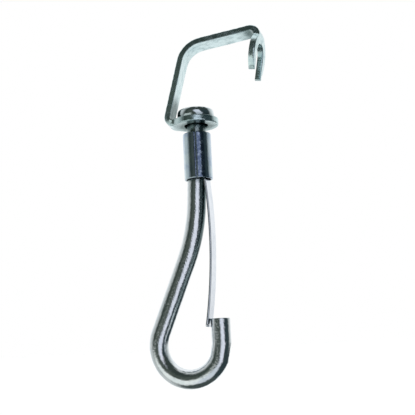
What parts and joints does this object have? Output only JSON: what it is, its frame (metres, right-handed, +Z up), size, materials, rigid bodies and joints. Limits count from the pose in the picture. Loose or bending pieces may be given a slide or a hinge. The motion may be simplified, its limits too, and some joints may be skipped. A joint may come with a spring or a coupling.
{
  "type": "swivel meat hook",
  "caption": "Zinc-plated swivel snap hook of round bar with a leaf-spring gate, hung by its collar from a bent flat strap that ends in an open fork.",
  "frame": {"origin": "centre of the fork's half-round seat, halfway through the plate", "axes": "+Z up, parallel to the swivel axis; the strap is bent in the XZ plane, with the fork on the +X side of the swivel"},
  "size_m": [0.0703, 0.0244, 0.1886],
  "materials": {
    "strap_zinc": "bright zinc plate over stamped strap, faint rolling marks",
    "collar_zinc": "bright zinc plate over a turned collar",
    "rod_zinc": "bright zinc plate over bent round bar, slightly pitted",
    "sleeve_zinc": "bright zinc plate over a rolled sleeve, mottled by the crimping dies",
    "leaf_steel": "bright zinc plate over spring strip",
    "rivet_steel": "plain bright steel"
  },
  "bodies": {
    "hanger": {"hanger_strap": "strap_zinc"},
    "hook": {"hook_rod": "rod_zinc", "swivel_collar": "collar_zinc", "sleeve": "sleeve_zinc", "gate_tang": "leaf_steel", "gate_rivet": "rivet_steel"},
    "gate": {"gate_blade": "leaf_steel"}
  },
  "joints": [
    {"name": "swivel", "type": "hinge", "parent": "hanger", "child": "hook", "pos_m": [-0.03501, 0.00032, -0.03189], "axis": [0, 0, 1], "continuous": true},
    {"name": "gate_flex", "type": "hinge", "parent": "hook", "child": "gate", "pos_m": [-0.03031, -0.00042, -0.07489], "axis": [0.1564, 0.9877, 0], "range_deg": [0, 14], "stiffness_Nm_per_rad": 5, "springref_deg": -2.86}
  ]
}
